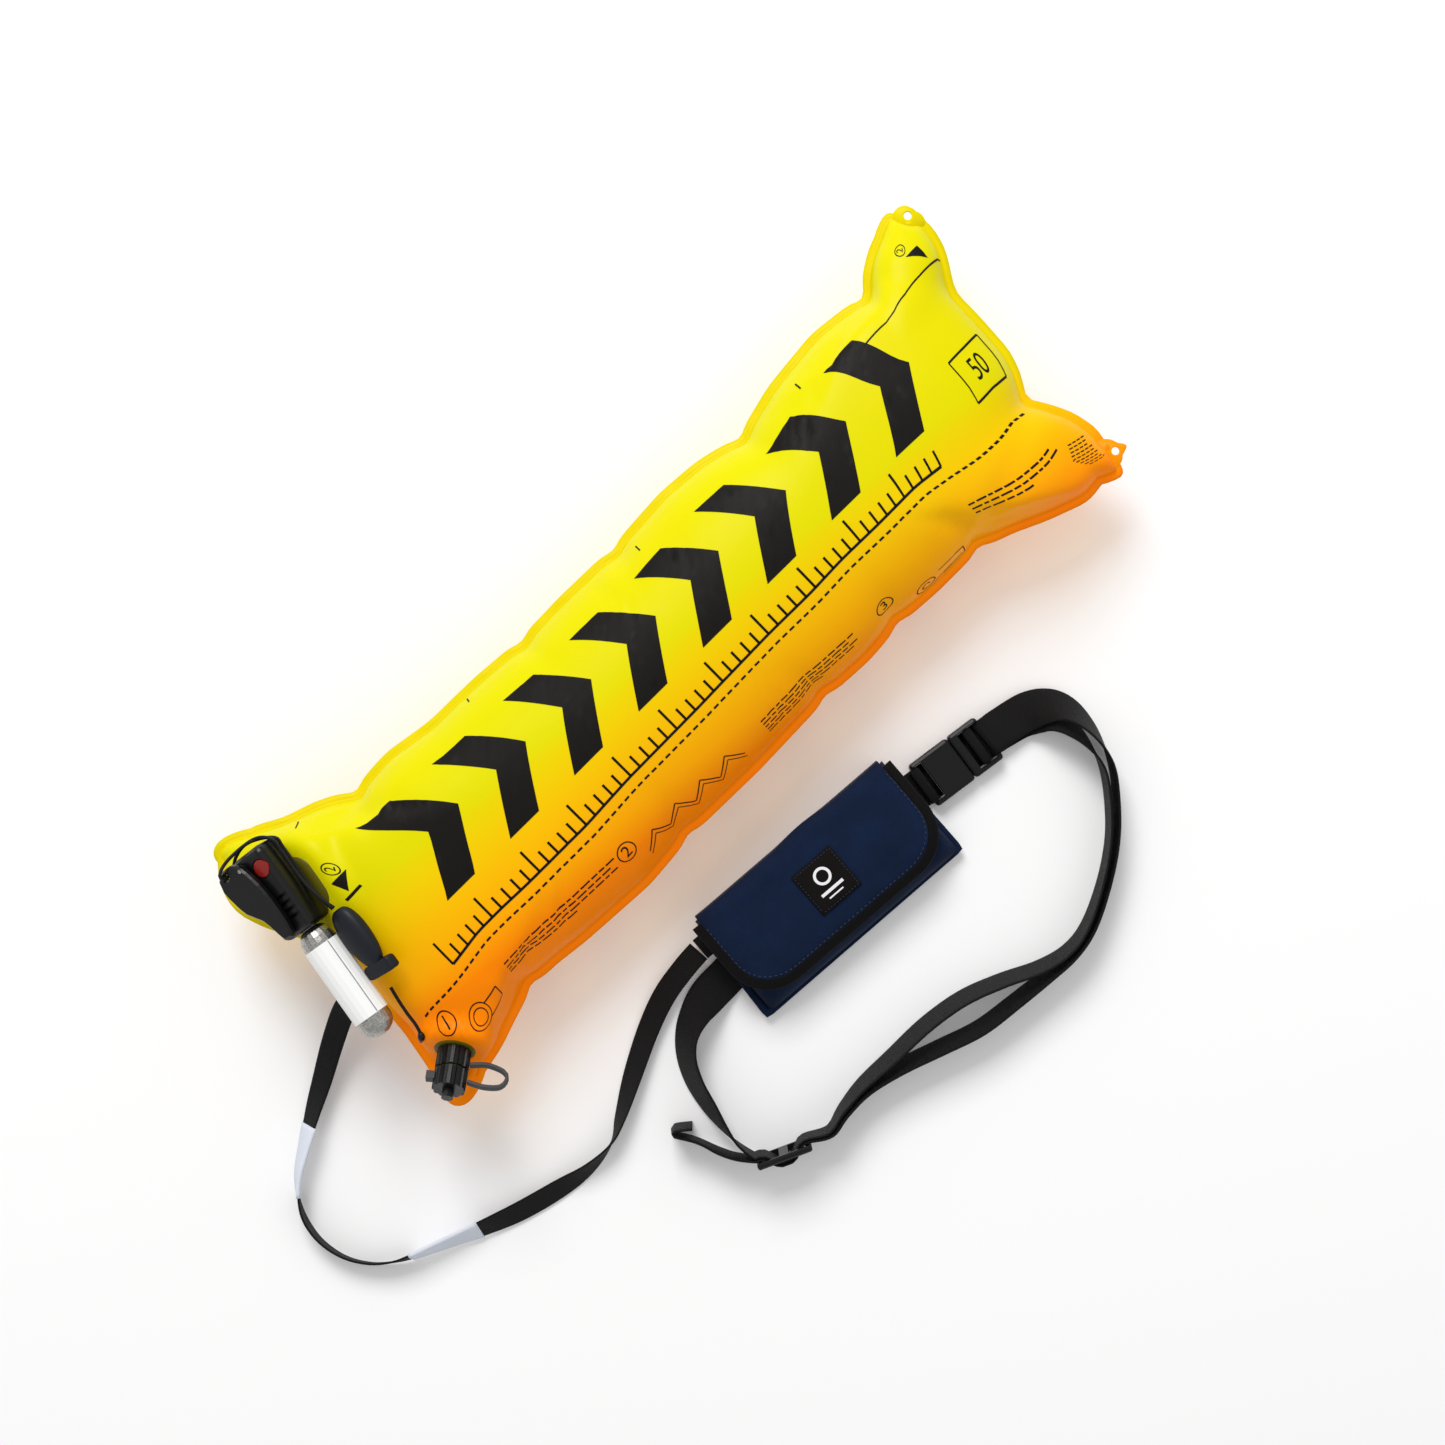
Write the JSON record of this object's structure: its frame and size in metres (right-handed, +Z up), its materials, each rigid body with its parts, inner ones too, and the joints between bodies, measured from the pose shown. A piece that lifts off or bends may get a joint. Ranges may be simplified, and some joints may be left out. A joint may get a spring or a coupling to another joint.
{
  "type": "inflatable safety buoy",
  "caption": "Inflated swim safety buoy on a tether, with gas cartridge inflator, oral valve and whistle, beside its flapped pouch on a buckled waist belt.",
  "frame": {"origin": "on the ground under the middle of the bladder, on its flat underside", "axes": "+X along the buoy away from the inflator end, +Y across it away from the pouch, +Z up"},
  "size_m": [0.7088, 0.4151, 0.1009],
  "materials": {
    "yellow_film": "thin translucent welded film",
    "black_moulded_plastic": "moulded, slightly glossy",
    "slate_moulded_plastic": "moulded, satin",
    "red_moulded_plastic": "moulded",
    "plated_steel": "zinc plated",
    "white_sleeve": "shrunk-on plastic sleeve",
    "grey_rubber": "soft rubber",
    "black_webbing": "woven webbing",
    "white_tag": "coated fabric sleeve",
    "navy_cloth": "coated woven cloth",
    "black_cloth": "binding tape and hook-and-loop",
    "black_cord": "braided cord"
  },
  "bodies": {
    "buoy": {"belt_main": "black_webbing", "belt_pouch_run": "black_webbing", "belt_return": "black_webbing", "belt_sewn_end": "black_webbing", "belt_tunnel": "navy_cloth", "bladder_lower_panel": "yellow_film", "bladder_upper_panel": "yellow_film", "buckle_socket": "black_moulded_plastic", "cap_strap": "grey_rubber", "cartridge_gasket": "grey_rubber", "inflator_housing": "black_moulded_plastic", "inflator_manifold": "black_moulded_plastic", "lever_pin": "plated_steel", "loose_cord_end": "black_cord", "piercing_spring": "plated_steel", "pouch_back_panel": "navy_cloth", "pouch_binding": "black_cloth", "pouch_front": "navy_cloth", "pouch_loop_patch": "black_cloth", "pull_cord": "black_cord", "status_indicator": "red_moulded_plastic", "tether": "black_webbing", "tether_anchor": "black_webbing", "tether_tab": "black_webbing", "tether_tag_lower": "white_tag", "tether_tag_upper": "white_tag", "valve_collar": "black_moulded_plastic", "valve_manifold": "black_moulded_plastic", "valve_spring": "plated_steel", "whistle": "slate_moulded_plastic"},
    "lever": {"trigger_lever": "black_moulded_plastic"},
    "piercing_pin": {"piercing_pin": "plated_steel"},
    "cartridge": {"gas_cartridge": "plated_steel", "cartridge_sleeve": "white_sleeve"},
    "valve_cap": {"valve_cap": "black_moulded_plastic"},
    "valve_poppet": {"valve_poppet": "black_moulded_plastic"},
    "flap": {"pouch_flap": "navy_cloth", "flap_binding": "black_cloth", "flap_hook_patch": "black_cloth", "pouch_label": "black_cloth"},
    "plug": {"buckle_plug": "black_moulded_plastic", "belt_plug_wrap": "black_webbing"},
    "prong_left": {"buckle_prong_left": "black_moulded_plastic"},
    "prong_right": {"buckle_prong_right": "black_moulded_plastic"},
    "slider": {"belt_slider": "black_moulded_plastic"}
  },
  "joints": [
    {"name": "lever_pull", "type": "hinge", "parent": "buoy", "child": "lever", "pos_m": [-0.27096, 0.0935, 0.09282], "axis": [0.5228, -0.0865, -0.848], "range_deg": [0, 60], "deforming": ["pull_cord"]},
    {"name": "pin_drive", "type": "slide", "parent": "buoy", "child": "piercing_pin", "axis": [-0.1633, -0.9866, 0], "range_m": [0, 0.004], "deforming": ["piercing_spring"]},
    {"name": "cartridge_withdraw", "type": "slide", "parent": "buoy", "child": "cartridge", "axis": [-0.1633, -0.9866, 0], "range_m": [0, 0.014]},
    {"name": "cap_lift", "type": "slide", "parent": "buoy", "child": "valve_cap", "axis": [-0.6303, -0.5232, 0.5736], "range_m": [0, 0.013], "deforming": ["cap_strap"]},
    {"name": "poppet_press", "type": "slide", "parent": "buoy", "child": "valve_poppet", "axis": [0.6303, 0.5232, -0.5736], "range_m": [0, 0.003], "stiffness_N_per_m": 200, "springref_m": -0.003, "deforming": ["valve_spring"]},
    {"name": "flap_open", "type": "hinge", "parent": "buoy", "child": "flap", "pos_m": [-0.02969, -0.12649, 0.00445], "axis": [-0.9976, 0.0698, 0], "range_deg": [0, 85]},
    {"name": "buckle_release", "type": "slide", "parent": "buoy", "child": "plug", "axis": [0.9907, -0.1357, 0], "range_m": [0, 0.024], "deforming": ["belt_main", "belt_return", "buckle_prong_left", "buckle_prong_right"]},
    {"name": "prong_left_squeeze", "type": "hinge", "parent": "plug", "child": "prong_left", "pos_m": [0.08581, -0.15915, 0], "axis": [0, 0, 1], "range_deg": [0, 7], "stiffness_Nm_per_rad": 0.3},
    {"name": "prong_right_squeeze", "type": "hinge", "parent": "plug", "child": "prong_right", "pos_m": [0.08364, -0.175, 0], "axis": [0, 0, 1], "range_deg": [-7, 0], "stiffness_Nm_per_rad": 0.3},
    {"name": "slider_adjust", "type": "slide", "parent": "buoy", "child": "slider", "axis": [0.9121, -0.4099, 0], "range_m": [-0.006, 0.008], "deforming": ["belt_main", "belt_return"]}
  ],
  "couplings": [
    {"joint": "pin_drive", "follows": "lever_pull", "m_per_rad": 0.0038197},
    {"joint": "prong_right_squeeze", "follows": "prong_left_squeeze", "ratio": -1}
  ]
}
